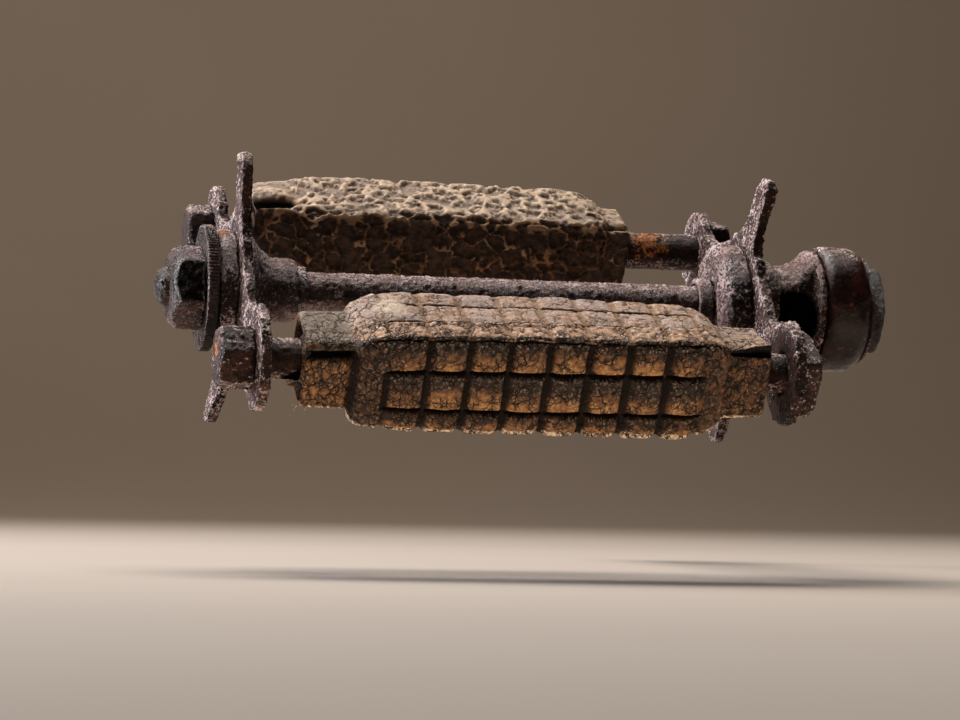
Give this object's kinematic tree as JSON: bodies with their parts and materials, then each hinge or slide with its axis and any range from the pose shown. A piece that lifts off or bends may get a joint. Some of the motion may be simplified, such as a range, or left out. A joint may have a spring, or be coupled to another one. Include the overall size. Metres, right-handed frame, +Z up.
{
  "type": "penny farthing bicycle pedal with crank",
  "caption": "Rusty double-sided rubber-block pedal with horned plates, turning on a round spindle nutted into a crank arm.",
  "frame": {"origin": "centre of the crank's axle bore, on its axis and midway through the eye", "axes": "+X along the pedal spindle from the outboard end to the crank and out of the axle bore towards the wheel, +Y from the pedal to the wheel axle, +Z up"},
  "size_m": [0.1543, 0.2001, 0.0548],
  "materials": {
    "spindle_steel": "old steel, brown rust, pitted all over",
    "cone_steel": "rusty steel, knurled rim worn bright in places",
    "nut_steel": "rusty steel, rounded corners",
    "crank_steel": "dark brown rusty forged steel",
    "plate_steel": "rough pitted steel, dusty grey on its edges",
    "hub_steel": "pitted rusty steel",
    "bolt_steel": "rough rusty steel with orange rust in spots",
    "front_rubber": "perished brown rubber, finely cracked, dusty on top",
    "rear_rubber": "deeply perished rubber, dusty ridges over dark hollows"
  },
  "bodies": {
    "crank": {"crank_arm": "crank_steel", "pedal_spindle": "spindle_steel", "adjusting_cone": "cone_steel", "lock_nut": "nut_steel", "crank_washer": "nut_steel", "crank_nut": "nut_steel"},
    "pedal": {"outboard_plate": "plate_steel", "inboard_plate": "plate_steel", "outboard_hub": "hub_steel", "inboard_hub": "hub_steel", "outboard_dust_ring": "hub_steel", "inboard_dust_ring": "hub_steel", "front_bolt": "bolt_steel", "rear_bolt": "bolt_steel", "front_bolt_nut": "bolt_steel", "rear_bolt_nut": "bolt_steel", "front_rubber": "front_rubber", "rear_rubber": "rear_rubber"}
  },
  "joints": [
    {"name": "pedal_spin", "type": "hinge", "parent": "crank", "child": "pedal", "pos_m": [-0.0759, -0.13989, 0.0055], "axis": [1, 0, 0], "continuous": true}
  ]
}
